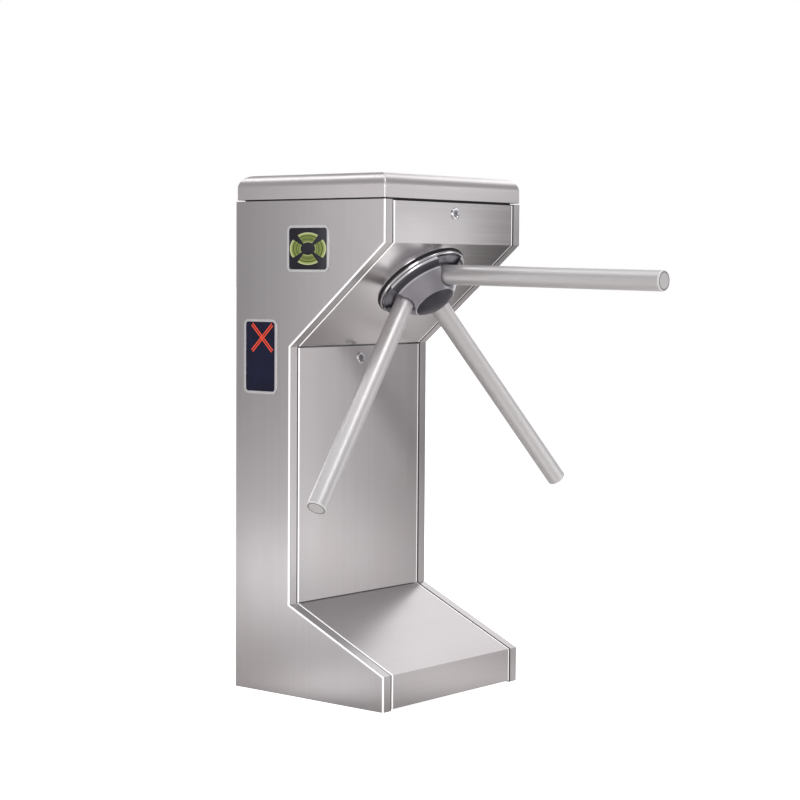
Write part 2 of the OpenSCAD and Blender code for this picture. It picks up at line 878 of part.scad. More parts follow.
module lock_disc() {
    color("dimgray") rotor_frame() difference() {
        disc(disc_r, disc_z, disc_z + disc_t);
        disc(shaft_tail_r + 0.01, -160, -100);
        for (a = [0 : 360 / notches : 359]) rotate(a)
            span([disc_r - notch_depth, -notch_w / 2, -160], [disc_r + 5, notch_w / 2, -100]);
        for (a = [15 : 60 : 315]) rotate(a) translate([28, 0, 0]) disc(7, -160, -100);
    }
}

module pawl() {
    color("goldenrod") rotor_frame() difference() {
        union() {
            translate([0, 0, disc_z]) linear_extrude(disc_t) {
                translate(pawl_pivot) circle(r = 9);
                polygon([
                    pawl_pivot + [-8, 4], pawl_pivot + [5, 7], [pawl_back_x + 5, -3.5], [pawl_tip_x, -3.5],
                    [pawl_tip_x, 3.5], [pawl_back_x - 4, 3.5], [pawl_back_x - 5, -8]
                ]);
                translate(pawl_pivot - [pawl_arm, 5]) square([pawl_arm, 10]);
                translate(pawl_pivot - [pawl_arm, 0]) circle(r = 5);
            }
            translate(pawl_pivot - [pawl_arm, 0]) disc(2, disc_z + 1, plunger_z + 4);
        }
        translate(pawl_pivot) disc(4 + fit_gap, -160, -100);
    }
}

module pawl_left() {
    pawl();
}

module pawl_right() {
    mirror([1, 0, 0]) pawl();
}

module pawl_pins() {
    color("gray") rotor_frame() both_sides() translate(pawl_pivot) {
        disc(4, disc_z - 4, housing_back);
        ring(4 + fit_gap, 7.5, disc_z - 3, disc_z - 0.4);
        ring(4.4, 7, disc_z + disc_t + 1, housing_back - 1);
    }
}

plunger_x = pawl_pivot[0] - pawl_arm;
plunger_r = 5;
coil_low = -18;
coil_high = 27;

module solenoid_bodies() {
    color("darkslategray") rotor_frame() both_sides() difference() {
        span([plunger_x - 12, coil_low, plunger_z - 17], [plunger_x + 12, coil_high, housing_back]);
        translate([plunger_x, coil_low - 1, plunger_z]) rotate([-90, 0, 0])
            cylinder(r = plunger_r + fit_gap, h = coil_high - coil_low - 6);
    }
}

module plunger() {
    color("lightsteelblue") rotor_frame() difference() {
        union() {
            translate([plunger_x, pawl_pivot[1] + 6.5, plunger_z]) rotate([-90, 0, 0]) cylinder(r = plunger_r, h = 36);
            span([plunger_x - 4, pawl_pivot[1], plunger_z - 2.6], [plunger_x + 4, pawl_pivot[1] + 7, plunger_z + 2.4]);
            translate([plunger_x, pawl_pivot[1], 0]) disc(6, plunger_z - 2.6, plunger_z + 2.4);
        }
        translate([plunger_x, pawl_pivot[1], 0]) disc(2.9, -160, -100);
    }
}

module plunger_left() {
    plunger();
}

module plunger_right() {
    mirror([1, 0, 0]) plunger();
}

module encoder_disc() {
    color("black") rotor_frame() difference() {
        union() {
            disc(46, encoder_z, encoder_z + encoder_t);
            disc(18, encoder_z - 0.8, disc_z - 0.1);
        }
        disc(shaft_tail_r + 0.01, -160, -100);
        for (a = [0 : 12 : 348]) rotate(a) span([39, -1.6, -160], [44, 1.6, -100]);
    }
}

module optical_sensor() {
    color("black") rotor_frame() difference() {
        union() {
            span([-9, 36, -149], [9, 66, -138]);
            span([-9, 60, -149], [9, 66, housing_back]);
        }
        span([-10, 35, encoder_z - 1.2], [10, 49, encoder_z + encoder_t + 1.2]);
    }
}

// ---------------------------------------------------------------- electronics on the back panel

board_low = 700;

module control_board() {
    color("darkgreen") union() {
        span([-130, back_y - 14, board_low], [70, back_y - 12, board_low + 150]);
        span([-110, back_y - 34, board_low + 12], [-40, back_y - 13, board_low + 28]);
        span([-20, back_y - 30, board_low + 12], [50, back_y - 13, board_low + 28]);
        span([-60, back_y - 18, board_low + 62], [-30, back_y - 13, board_low + 92]);
        span([0, back_y - 32, board_low + 100], [40, back_y - 13, board_low + 130]);
        for (x = [-115 : 16 : -67]) translate([x, back_y - 13, board_low + 120]) rotate([90, 0, 0]) cylinder(r = 6, h = 20);
        for (x = [-124, 64], z = [6, 144]) translate([x, back_y - sheet - 0.05, board_low + z])
            rotate([90, 0, 0]) cylinder(r = 4, h = 11);
    }
}

module power_supply() {
    color("lightgray") difference() {
        span([-60, back_y - 52, 470], [60, back_y - sheet - 0.05, 640]);
        for (z = [500 : 12 : 610]) span([-45, back_y - 60, z], [45, back_y - 46, z + 5]);
        span([-52, back_y - 60, 625], [52, back_y - 36, 645]);
    }
}

side_panel_left();
side_panel_right();
back_panel();
base_plate();
base_cover();
head_cover();
cross_rail();
top_frame();
lid_gasket();
cable_gland();
lid();
lid_hinge_upper();
lid_hinge_lower();
lid_hinge_pins();
lid_lock_body();
lid_lock_barrel();
lid_lock_cam();
column_panel();
panel_lock_body();
panel_lock_barrel();
panel_lock_cam();
reader_windows();
reader_bezels();
reader_segments();
reader_modules();
display_windows();
display_bezels();
display_crosses();
display_boards();
hub_gasket();
hub_trim_ring();
hub_core();
hub_cowl();
hub_cap();
arm(0);  // arm_1
arm(1);  // arm_2
arm(2);  // arm_3
arm_end_caps();
arm_bolts();
mechanism_plate();
bearing_housing();
bearing_outer_rings();
bearing_inner_rings();
main_shaft();
shaft_nuts();
drive_gear();
motor_pinion();
drive_motor();
mechanism_bracket();
lock_disc();
pawl_left();
pawl_right();
pawl_pins();
solenoid_bodies();
plunger_left();
plunger_right();
encoder_disc();
optical_sensor();
control_board();
power_supply();
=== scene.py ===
"""Looks for the visitor counter turnstile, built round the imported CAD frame.

Row frame, metres: origin on the floor between the anchor holes, +Z up, the lane on -Y.
"""
import math

import bmesh
import bpy
from mathutils import Matrix, Quaternion, Vector
from mathutils.geometry import tessellate_polygon


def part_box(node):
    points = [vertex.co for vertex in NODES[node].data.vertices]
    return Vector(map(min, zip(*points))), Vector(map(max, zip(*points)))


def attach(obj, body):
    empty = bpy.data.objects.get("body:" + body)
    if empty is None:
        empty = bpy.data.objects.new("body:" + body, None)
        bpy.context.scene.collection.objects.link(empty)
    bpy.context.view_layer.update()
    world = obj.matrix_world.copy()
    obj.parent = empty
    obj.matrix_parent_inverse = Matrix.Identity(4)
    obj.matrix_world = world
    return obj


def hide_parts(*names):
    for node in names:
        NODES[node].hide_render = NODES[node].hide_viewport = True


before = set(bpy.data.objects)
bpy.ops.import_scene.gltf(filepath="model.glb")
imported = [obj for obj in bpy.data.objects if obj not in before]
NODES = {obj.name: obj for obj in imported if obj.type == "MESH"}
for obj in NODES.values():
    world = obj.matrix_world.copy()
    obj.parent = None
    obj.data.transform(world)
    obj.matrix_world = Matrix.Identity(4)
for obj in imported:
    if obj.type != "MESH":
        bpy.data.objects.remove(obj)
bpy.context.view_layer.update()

MM = 0.001
MICRON = 0.001 * MM
WELD = 2 * MICRON            # corners closer than this are one
CREASE = math.radians(32)    # CAD nodes shade smooth over bends up to this
EDGE = math.radians(35)      # sharper than this is an edge

# ---------------------------------------------------------------- sizes: the cabinet's from the CAD boxes
side_lo, side_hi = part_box("side_panel_right")
column_lo, column_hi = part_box("column_panel")
lid_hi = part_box("lid")[1]
base_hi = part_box("base_cover")[1]
cover_lo, cover_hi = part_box("head_cover")
HALF_W = side_hi.x
FOOT_Y = side_lo.y
BACK_Y = side_hi.y
BODY_TOP = side_hi.z
HEAD_Y = cover_lo.y
COLUMN_Y = column_lo.y
COVER_HALF = cover_hi.x
SHEET = 2 * MM
STRIP_W = 24 * MM            # width of the facing strip along each side sheet
LIP = 15 * MM                # depth of the lips behind the strips and covers
NOSE_H = 67 * MM             # upright front of the foot
FOOT_H = base_hi.z
SLOPE = math.radians(40)     # underside of the head, from level
FASCIA_LOW = 870 * MM
COLUMN_TOP = FASCIA_LOW - (COLUMN_Y - HEAD_Y) * math.tan(SLOPE)
LOCK_Z = 927.5 * MM
PANEL_LOCK_Z = 645.5 * MM
LOCK_HOLE = 9.7 * MM
HUB_UP = 200 * MM            # hub centre, up the slope from the column's top
HUB = Vector((0, COLUMN_Y - HUB_UP * math.cos(SLOPE), COLUMN_TOP + HUB_UP * math.sin(SLOPE)))
AXIS = Vector((0, -math.sin(SLOPE), -math.cos(SLOPE)))
UPSLOPE = Vector((0, -math.cos(SLOPE), math.sin(SLOPE)))
READER_C, READER_SIZE = (0.5 * MM, 859 * MM), (96.5 * MM, 78.5 * MM)    # window centre (y, z) and size
DISPLAY_C, DISPLAY_SIZE = (123.5 * MM, 651.5 * MM), (76.5 * MM, 134 * MM)
WINDOW_R = 6 * MM
RIM_Z = BODY_TOP + 2.5 * MM  # lower rim of the lid, over its shadow gap


def V2(*p):
    """A point or direction (y, z) in the plane of the sides."""
    return Vector(p)


# Front edge of the side sheets, from the floor up
FRONT_LINE = [V2(FOOT_Y, 0), V2(FOOT_Y, NOSE_H), V2(COLUMN_Y, FOOT_H),
              V2(COLUMN_Y, COLUMN_TOP), V2(HEAD_Y, FASCIA_LOW), V2(HEAD_Y, BODY_TOP)]


# ---------------------------------------------------------------- materials
class Shader:
    """A node material that ends in a Principled shader."""

    def __init__(self, name, color, metallic=0.0, rough=0.5, **sockets):
        self.material = bpy.data.materials.new(name)
        self.material.use_nodes = True
        self.tree = self.material.node_tree
        self.out = self.tree.nodes["Principled BSDF"]
        self.set(self.out, {"Base Color": (*color, 1), "Metallic": metallic, "Roughness": rough, **sockets})

    def set(self, node, values):
        """Links the node's inputs to values that are sockets, and sets them to the others."""
        for key, value in values.items():
            if isinstance(value, bpy.types.NodeSocket):
                self.tree.links.new(value, node.inputs[key])
            else:
                node.inputs[key].default_value = value

    def node(self, kind, inputs=None, **settings):
        made = self.tree.nodes.new("ShaderNode" + kind)
        for key, value in settings.items():
            setattr(made, key, value)
        self.set(made, inputs or {})
        return made

    def coords(self, scale=(1, 1, 1), turn=(0, 0, 0), along=0.0):
        """Object coordinates, turned, then scaled, then moved by along on Z."""
        place = self.node("TexCoord").outputs["Object"]
        turned = self.node("Mapping", {"Vector": place, "Rotation": turn}).outputs[0]
        scaled = self.node("Mapping", {"Vector": turned, "Scale": scale, "Location": (0, 0, along)})
        return scaled.outputs[0]

    def noise(self, scale, at, detail=3.0, rough=0.5):
        made = self.node("TexNoise", {"Vector": at, "Scale": scale, "Detail": detail, "Roughness": rough})
        return made.outputs["Fac"]

    def span(self, value, low, high, from_low=0.3, from_high=0.7):
        """Eases from low to high between from_low and from_high; noise is mostly in 0.3 to 0.7."""
        made = self.node("MapRange", {"Value": value, "From Min": from_low, "From Max": from_high,
                                      "To Min": low, "To Max": high}, interpolation_type="SMOOTHSTEP")
        return made.outputs[0]

    def math(self, kind, a, b=0.0):
        return self.node("Math", {0: a, 1: b}, operation=kind).outputs[0]

    def mix(self, share, a, b, blend="MIX"):
        made = self.node("Mix", data_type="RGBA", blend_type=blend)
        self.set(made, {0: share, 6: a if isinstance(a, bpy.types.NodeSocket) else (*a, 1),
                        7: b if isinstance(b, bpy.types.NodeSocket) else (*b, 1)})
        return made.outputs[2]

    def ramp(self, fac, stops):
        made = self.node("ValToRGB", {"Fac": fac})
        while len(made.color_ramp.elements) < len(stops):
            made.color_ramp.elements.new(0.5)
        for element, (place, rgb) in zip(made.color_ramp.elements, stops):
            element.position, element.color = place, (*rgb, 1)
        return made.outputs[0]

    def line_distance(self, point, direction):
        """Distance from the straight line through point along direction."""
        offset = self.node("VectorMath", {0: self.coords(), 1: point}, operation="SUBTRACT").outputs[0]
        across = self.node("VectorMath", {0: offset, 1: direction}, operation="CROSS_PRODUCT").outputs[0]
        return self.node("VectorMath", {0: across}, operation="LENGTH").outputs["Value"]

    def point_distance(self, point):
        made = self.node("VectorMath", {0: self.coords(), 1: point}, operation="DISTANCE")
        return made.outputs["Value"]

    def bump(self, height, depth):
        made = self.node("Bump", {"Height": height, "Distance": depth})
        self.set(self.out, {"Normal": made.outputs[0]})


def shade(color, k):
    return tuple(min(1.0, c * k) for c in color)


FINE_GRAIN = (300, 300, 0.7)     # noise cells per metre, across and along the brushing
WIDE_GRAIN = (110, 110, 0.6)
GRAIN_SHIFT = 0.25               # keeps the noise's lattice planes off the middle of the sheets


def brushed(name, color, rough=0.3, turn=(0, 0, 0), tint=0.5, bump=1.0, depth=0.028, metallic=1.0,
            **sockets):
    """Steel brushed along Z, or along the direction that turn carries onto Z.

    tint is the share of warm clouds, bump scales the lines' height, depth is how much they darken."""
    s = Shader(name, color, metallic, rough, **sockets)
    lines = s.noise(1.0, s.coords(FINE_GRAIN, turn, GRAIN_SHIFT), 0, 0.5)
    streaks = s.noise(1.0, s.coords(WIDE_GRAIN, turn, GRAIN_SHIFT), 0, 0.5)
    clouds = s.noise(3.2, s.coords(), 3, 0.55)
    smudge = s.noise(11.0, s.coords((1, 1, 0.6)), 4, 0.6)
    warm = s.mix(s.span(clouds, 0.0, tint), color, (color[0] * 1.03, color[1] * 0.98, color[2] * 0.965))
    grain = s.math("ADD", s.span(lines, 0.0, 0.5), s.span(streaks, 0.0, 0.5))
    streaked = s.mix(grain, shade((1, 1, 1), 1 - depth), (1, 1, 1))
    s.set(s.out, {"Base Color": s.mix(1.0, warm, streaked, "MULTIPLY")})
    uneven = s.math("ADD", s.span(lines, -0.01, 0.01), s.span(smudge, -0.012, 0.012))
    s.set(s.out, {"Roughness": s.math("ADD", uneven, rough)})
    s.bump(lines, 1.5 * MICRON * bump)
    return s.material


def turned_to(direction):
    """Mapping rotation that carries direction onto the Z axis."""
    return tuple(Vector(direction).rotation_difference(Vector((0, 0, 1))).to_euler())


def mottled(name, color, rough, bump, scale=60.0, spread=0.12, metallic=0.0, **sockets):
    """Moulded or cast surface: fine grain, soft tone changes and a roughness that follows them."""
    s = Shader(name, color, metallic, rough, **sockets)
    grain = s.noise(scale * 22, s.coords(), 3, 0.6)
    clouds = s.noise(scale / 4, s.coords(), 3, 0.55)
    tone = s.mix(s.span(clouds, 0.0, 1.0), shade(color, 1 - spread), shade(color, 1 + spread))
    fine = s.math("ADD", s.span(grain, -0.04, 0.04), rough)
    s.set(s.out, {"Base Color": tone, "Roughness": s.math("ADD", s.span(clouds, -0.05, 0.05), fine)})
    s.bump(grain, bump)
    return s.material


def banded(name, base, metallic, rough, stops, unit, **sockets):
    """Turned part whose tone changes with the distance from the rotor axis, in rings of painted highlight
    and painted shade; stops are shares of unit.
    """
    s = Shader(name, base, metallic, rough, **sockets)
    reach = s.line_distance(HUB, AXIS)
    clouds = s.noise(14, s.coords(), 3, 0.55)
    grain = s.noise(1100, s.coords(), 3, 0.6)
    tone = s.mix(1.0, s.ramp(s.math("DIVIDE", reach, unit), stops),
                 s.mix(s.span(clouds, 0.0, 1.0), (0.92, 0.92, 0.92), (1, 1, 1)), "MULTIPLY")
    s.set(s.out, {"Base Color": tone, "Roughness": s.math("ADD", s.span(grain, -0.03, 0.03), rough)})
    s.bump(grain, 8 * MICRON)
    return s.material


def glass_black(name, color):
    """Dark glossy window with a little dust and a faint film."""
    s = Shader(name, color, 0.0, 0.07, **{
        "Coat Weight": 0.25, "Coat Roughness": 0.03, "Specular IOR Level": 0.3})
    dust = s.noise(900, s.coords(), 2, 0.7)
    film = s.noise(14, s.coords(), 4, 0.6)
    s.set(s.out, {"Base Color": s.mix(s.span(film, 0.0, 1.0, 0.35, 0.65), color, shade(color, 1.7)),
                  "Roughness": s.math("ADD", s.span(dust, 0.0, 0.05, 0.5, 0.8), s.span(film, 0.06, 0.13))})
    return s.material


OVAL_HALF_Y, OVAL_HALF_Z = 46 * MM, 30.5 * MM    # the reader's light ring


def lit_segments(name):
    """Olive green oval bands with thin light rings, a light rim and light ends, lit faintly from behind."""
    s = Shader(name, (0.3, 0.36, 0.07), 0.0, 0.35)
    split = s.node("SeparateXYZ", {"Vector": s.coords()})
    along = s.math("DIVIDE", s.math("SUBTRACT", split.outputs[1], READER_C[0]), OVAL_HALF_Y)
    up = s.math("DIVIDE", s.math("SUBTRACT", split.outputs[2], READER_C[1]), OVAL_HALF_Z)
    reach = s.math("SQRT", s.math("ADD", s.math("MULTIPLY", along, along), s.math("MULTIPLY", up, up)))
    dark, mid = (0.10, 0.135, 0.018), (0.21, 0.28, 0.045)
    light, white = (0.42, 0.48, 0.17), (0.72, 0.76, 0.42)
    rings = s.ramp(reach, [
        (0.42, light), (0.50, dark), (0.555, mid), (0.60, light), (0.64, dark), (0.70, mid),
        (0.76, mid), (0.80, dark), (0.84, mid), (0.93, light), (0.98, white)])
    steepness = s.math("ARCTAN2", s.math("ABSOLUTE", up), s.math("ABSOLUTE", along))
    lean = s.math("ABSOLUTE", s.math("SUBTRACT", steepness, math.pi / 4))
    ends = s.span(lean, 0.75, 0.0, 0.19, 0.26)
    speck = s.noise(1600, s.coords(), 2, 0.6)
    tone = s.mix(s.span(speck, 0.0, 0.25), s.mix(ends, rings, light), dark)
    s.set(s.out, {"Base Color": tone, "Emission Color": tone, "Emission Strength": 0.2})
    return s.material


def lit_cross(name):
    """Red light bars with small bright dots."""
    s = Shader(name, (0.75, 0.03, 0.02), 0.0, 0.4)
    dots = s.noise(1400, s.coords(), 2, 0.6)
    tone = s.mix(s.span(dots, 0.0, 1.0), (0.66, 0.012, 0.01), (0.95, 0.12, 0.035))
    s.set(s.out, {"Base Color": tone, "Emission Color": tone, "Emission Strength": 0.35})
    return s.material


def circuit_board(name):
    """Green board with lighter tracks."""
    s = Shader(name, (0.03, 0.16, 0.08), 0.0, 0.4)
    tracks = s.node("TexBrick", {
        "Vector": s.coords((1, 1, 1), (0, math.pi / 2, 0)), "Scale": 90.0, "Mortar Size": 0.03,
        "Color1": (0.03, 0.16, 0.08, 1), "Color2": (0.02, 0.12, 0.06, 1), "Mortar": (0.08, 0.3, 0.12, 1)})
    s.set(s.out, {"Base Color": tracks.outputs[0], "Roughness": s.span(s.noise(300, s.coords()), 0.3, 0.5)})
    s.bump(tracks.outputs[1], 50 * MICRON)
    return s.material


APEX = HUB - AXIS * 16 * MM        # where the three arm axes meet
ARM_ANGLE = math.radians(49.15)    # each arm, from the rotor axis
ARM_R = 19 * MM
FIRST_ARM = AXIS * math.cos(ARM_ANGLE) + UPSLOPE * math.sin(ARM_ANGLE)
ARM_LINES = [Quaternion(AXIS, math.tau * k / 3) @ FIRST_ARM for k in range(3)]


def cap_faces(name):
    """Pressed end caps, toned by the distance from the arm's axis: a satin face, a dark ring of painted
    shade and a rim with a painted highlight.
    """
    s = Shader(name, (0.66, 0.65, 0.64), 0.1, 0.42)
    reach = 1.0
    for along in ARM_LINES:
        reach = s.math("MINIMUM", reach, s.line_distance(APEX, along))
    # painted shade ring from 0.80 to 0.87 of the arm's radius, painted highlight on the rim beyond 0.91
    tone = s.ramp(s.math("DIVIDE", reach, ARM_R), [
        (0.76, (0.64, 0.63, 0.62)), (0.80, (0.14, 0.14, 0.14)),
        (0.87, (0.16, 0.16, 0.16)), (0.91, (0.88, 0.87, 0.86))])
    wear = s.mix(s.noise(70, s.coords()), (0.94, 0.94, 0.94), (1, 1, 1))
    s.set(s.out, {"Base Color": s.mix(1.0, tone, wear, "MULTIPLY")})
    s.bump(s.noise(60, s.coords()), 20 * MICRON)
    return s.material


GREY = (0.535, 0.515, 0.522)
LEVEL_X = turned_to((1, 0, 0))
BAND_UNIT = 100 * MM

M = {
    "sheet_upright": brushed("sheet_upright", GREY, 0.30),
    "sheet_level": brushed("sheet_level", GREY, 0.30, LEVEL_X),
    "sheet_head": brushed("sheet_head", GREY, 0.2, LEVEL_X),
    # Painted light: the lid's steel is the cabinet's grey made 1.24 times lighter, a lit copy of the same
    # steel
    "lid_steel_painted_light": brushed("lid_steel_painted_light", shade(GREY, 1.24), 0.34, LEVEL_X),
    "bezel_steel": brushed("bezel_steel", (0.72, 0.71, 0.72), 0.34, metallic=0.6),
    # Painted highlight for the folds: near-white steel that also glows a little
    "fold_painted_highlight": brushed("fold_painted_highlight", (0.97, 0.96, 0.965), 0.26, metallic=0.5,
                          **{"Emission Color": (1, 1, 1, 1), "Emission Strength": 0.42}),
    # Painted shade: near-black for the strip's edge bands, lip bend and lip, where the gap's shade falls
    "strip_painted_shade": mottled("strip_painted_shade", (0.07, 0.068, 0.07), 0.6, 30 * MICRON, 60, 0.1, 0.5),
    "shield": mottled("shield", (0.30, 0.29, 0.325), 0.34, 20 * MICRON, 50, 0.08, 0.85),
    "zinc": mottled("zinc", (0.50, 0.52, 0.54), 0.38, 30 * MICRON, 40, 0.08, 1.0),
    "turned": brushed("turned", (0.48, 0.48, 0.49), 0.28, turned_to(AXIS)),
    "chrome": mottled("chrome", (0.78, 0.77, 0.79), 0.2, 6 * MICRON, 30, 0.03, 1.0),
    # Painted reflection: grey inside 87 mm from the axis, a dark line from 88.5 to 90.3 mm and a bright
    # highlight from 91 mm out
    "ring_chrome": banded("ring_chrome", (0.8, 0.79, 0.82), 1.0, 0.14, [
        (0.870, (0.46, 0.45, 0.48)), (0.885, (0.06, 0.055, 0.065)),
        (0.903, (0.08, 0.075, 0.085)), (0.910, (0.9, 0.89, 0.92))], BAND_UNIT),
    # Painted highlights: a light ring 72.5 to 74 mm from the axis and the rim from 88 mm out; painted
    # shade: the dark band from 75 to 87 mm
    "hub_metal": banded("hub_metal", (0.4, 0.385, 0.425), 0.8, 0.3, [
        (0.715, (0.4, 0.385, 0.425)), (0.725, (0.75, 0.74, 0.78)), (0.74, (0.6, 0.59, 0.63)),
        (0.75, (0.06, 0.055, 0.068)), (0.868, (0.09, 0.083, 0.1)), (0.88, (0.85, 0.84, 0.88))],
        BAND_UNIT, **{"Coat Weight": 0.3, "Coat Roughness": 0.15}),
    "cap_metal": mottled("cap_metal", (0.04, 0.034, 0.05), 0.36, 20 * MICRON, 50, 0.10, 0.2,
                         **{"Specular IOR Level": 0.35, "Coat Weight": 0.12, "Coat Roughness": 0.2}),
    "core_metal": mottled("core_metal", (0.42, 0.41, 0.44), 0.42, 30 * MICRON, 50, 0.10, 0.8),
    "arm_cap": cap_faces("arm_cap"),
    "key_metal": mottled("key_metal", (0.30, 0.295, 0.31), 0.3, 6 * MICRON, 30, 0.03, 1.0),
    "gasket": mottled("gasket", (0.11, 0.108, 0.11), 0.7, 60 * MICRON, 60, 0.2),
    # Painted highlight for the lid's upright corners
    "lid_corner_painted_highlight": brushed("lid_corner_painted_highlight", (0.85, 0.84, 0.845), 0.32, metallic=0.7),
    "rubber": mottled("rubber", (0.022, 0.022, 0.024), 0.75, 60 * MICRON, 60, 0.2),
    "black_plastic": mottled("black_plastic", (0.028, 0.028, 0.032), 0.5, 40 * MICRON, 60, 0.15),
    "grey_plastic": mottled("grey_plastic", (0.20, 0.21, 0.22), 0.5, 40 * MICRON, 60, 0.1),
    "casting": mottled("casting", (0.10, 0.12, 0.15), 0.55, 120 * MICRON, 26, 0.15, 0.3),
    "brass": mottled("brass", (0.62, 0.45, 0.17), 0.28, 20 * MICRON, 50, 0.08, 1.0),
    "coil": mottled("coil", (0.03, 0.05, 0.10), 0.45, 80 * MICRON, 50, 0.2),
    "reader_glass": glass_black("reader_glass", (0.013, 0.012, 0.019)),
    "display_glass": glass_black("display_glass", (0.006, 0.007, 0.028)),
    "green_light": lit_segments("green_light"),
    "red_light": lit_cross("red_light"),
    "board": circuit_board("board"),
}

for arm, along in zip(("arm_1", "arm_2", "arm_3"), ARM_LINES):
    M[arm] = brushed(arm, (0.76, 0.745, 0.745), 0.45, turned_to(along), 0.3, 0.4, 0.02, 0.85)

# Which CAD nodes wear each look
LOOK = {
    "zinc": ["base_plate", "cross_rail", "top_frame", "lid_lock_cam", "panel_lock_cam", "mechanism_plate",
             "mechanism_bracket", "power_supply", "lid_hinge_pins"],
    "sheet_upright": ["back_panel", "side_panel_left", "side_panel_right", "column_panel"],
    "sheet_level": ["lid_hinge_upper", "lid_hinge_lower", "base_cover", "head_cover"],
    "lid_steel_painted_light": ["lid"],
    "bezel_steel": ["reader_bezels", "display_bezels"],
    "rubber": ["hub_gasket"],
    "black_plastic": ["cable_gland", "drive_motor", "encoder_disc", "optical_sensor"],
    "chrome": ["lid_lock_body", "panel_lock_body"],
    "key_metal": ["lid_lock_barrel", "panel_lock_barrel"],
    "gasket": ["lid_gasket"],
    "ring_chrome": ["hub_trim_ring"],
    "reader_glass": ["reader_windows"],
    "display_glass": ["display_windows"],
    "green_light": ["reader_segments"],
    "red_light": ["display_crosses"],
    "grey_plastic": ["reader_modules"],
    "board": ["display_boards", "control_board"],
    "core_metal": ["hub_core"],
    "hub_metal": ["hub_cowl"],
    "cap_metal": ["hub_cap"],
    "arm_cap": ["arm_end_caps"],
    "arm_1": ["arm_1"], "arm_2": ["arm_2"], "arm_3": ["arm_3"],
    "turned": ["arm_bolts", "bearing_outer_rings", "bearing_inner_rings", "main_shaft", "drive_gear",
               "lock_disc", "pawl_pins", "plunger_left", "plunger_right"],
    "casting": ["bearing_housing"],
    "brass": ["shaft_nuts", "motor_pinion", "pawl_left", "pawl_right"],
    "coil": ["solenoid_bodies"],
}


# ---------------------------------------------------------------- CAD nodes: shading and softened edges
def smoothing_group():
    """Geometry nodes that weld split corners and shade smooth except over sharp bends."""
    group = bpy.data.node_groups.new("weld_and_smooth", "GeometryNodeTree")
    group.interface.new_socket("Geometry", in_out="INPUT", socket_type="NodeSocketGeometry")
    group.interface.new_socket("Geometry", in_out="OUTPUT", socket_type="NodeSocketGeometry")
    n, link = group.nodes, group.links.new
    source, sink = n.new("NodeGroupInput"), n.new("NodeGroupOutput")
    bare = n.new("GeometryNodeRemoveAttribute")
    bare.inputs["Name"].default_value = "custom_normal"
    weld = n.new("GeometryNodeMergeByDistance")
    weld.inputs["Distance"].default_value = WELD
    faces = n.new("GeometryNodeSetShadeSmooth")
    edges = n.new("GeometryNodeSetShadeSmooth")
    edges.domain = "EDGE"
    edges.inputs["Shade Smooth"].default_value = False
    angle = n.new("GeometryNodeInputMeshEdgeAngle")
    bend = n.new("FunctionNodeCompare")
    bend.data_type, bend.operation = "FLOAT", "GREATER_THAN"
    bend.inputs[1].default_value = CREASE
    link(source.outputs[0], bare.inputs["Geometry"])
    link(bare.outputs[0], weld.inputs["Geometry"])
    link(weld.outputs[0], faces.inputs["Geometry"])
    link(faces.outputs[0], edges.inputs["Geometry"])
    link(angle.outputs["Unsigned Angle"], bend.inputs[0])
    link(bend.outputs[0], edges.inputs["Selection"])
    link(edges.outputs[0], sink.inputs[0])
    return group


SMOOTHING = smoothing_group()
SOFT_EDGE = 0.35 * MM
BEVELLED = dict(segments=2, limit_method="ANGLE", angle_limit=EDGE)
PLAIN_EDGES = {
    "drive_gear", "motor_pinion", "encoder_disc", "control_board", "reader_segments", "display_crosses",
    "back_panel", "lid_hinge_upper", "lid_hinge_lower", "base_plate", "mechanism_plate",
    "mechanism_bracket", "bearing_housing", "lock_disc", "top_frame", "cross_rail",
    "arm_1", "arm_2", "arm_3"}


def modify(o, name, kind, **settings):
    made = o.modifiers.new(name, kind)
    for key, value in settings.items():
        setattr(made, key, value)


for look, names in LOOK.items():
    for name in names:
        o = NODES[name]
        o.data.materials.clear()
        o.data.materials.append(M[look])
        modify(o, "smooth", "NODES", node_group=SMOOTHING)
        if name not in PLAIN_EDGES:
            modify(o, "soft_edge", "BEVEL", width=SOFT_EDGE, **BEVELLED)
            modify(o, "flat_faces", "WEIGHTED_NORMAL", mode="FACE_AREA_WITH_ANGLE", weight=80,
                   keep_sharp=True)


# ---------------------------------------------------------------- folded sheet covers
def right_of(v):
    return V2(v.y, -v.x)


def inset(line, d):
    """The line moved by d to its right, with its corners kept."""
    out = []
    for i, p in enumerate(line):
        a = (p - line[i - 1] if i else line[1] - p).normalized()
        b = (line[i + 1] - p if i < len(line) - 1 else p - line[i - 1]).normalized()
        ra, rb = right_of(a), right_of(b)
        out.append(p + (ra + rb) * (d / (1 + ra.dot(rb))))
    return out


FOLD_STEPS = 5


def quarter(cx, cy, r, start, end, steps=FOLD_STEPS):
    """Points of the arc of radius r round (cx, cy) between two angles in degrees."""
    turns = [math.radians(start + (end - start) * i / steps) for i in range(steps + 1)]
    return [(cx + r * math.cos(t), cy + r * math.sin(t)) for t in turns]


def round_rect(w, h, r, steps=6):
    x, y = w / 2 - r, h / 2 - r
    corners = [(x, y, 0), (-x, y, 90), (-x, -y, 180), (x, -y, 270)]
    return [q for cx, cy, a in corners for q in quarter(cx, cy, r, a, a + 90, steps)]


def circle(centre, u, v, r, steps=48):
    turns = [math.tau * i / steps for i in range(steps)]
    return [centre + u * r * math.cos(t) + v * r * math.sin(t) for t in turns]


def pierced(bm, outline, holes):
    """A flat face with holes, as triangles. finish_mesh joins them into large faces."""
    loops = [outline, *holes]
    verts = [bm.verts.new(p) for loop in loops for p in loop]
    for tri in tessellate_polygon(loops):
        bm.faces.new([verts[i] for i in tri])


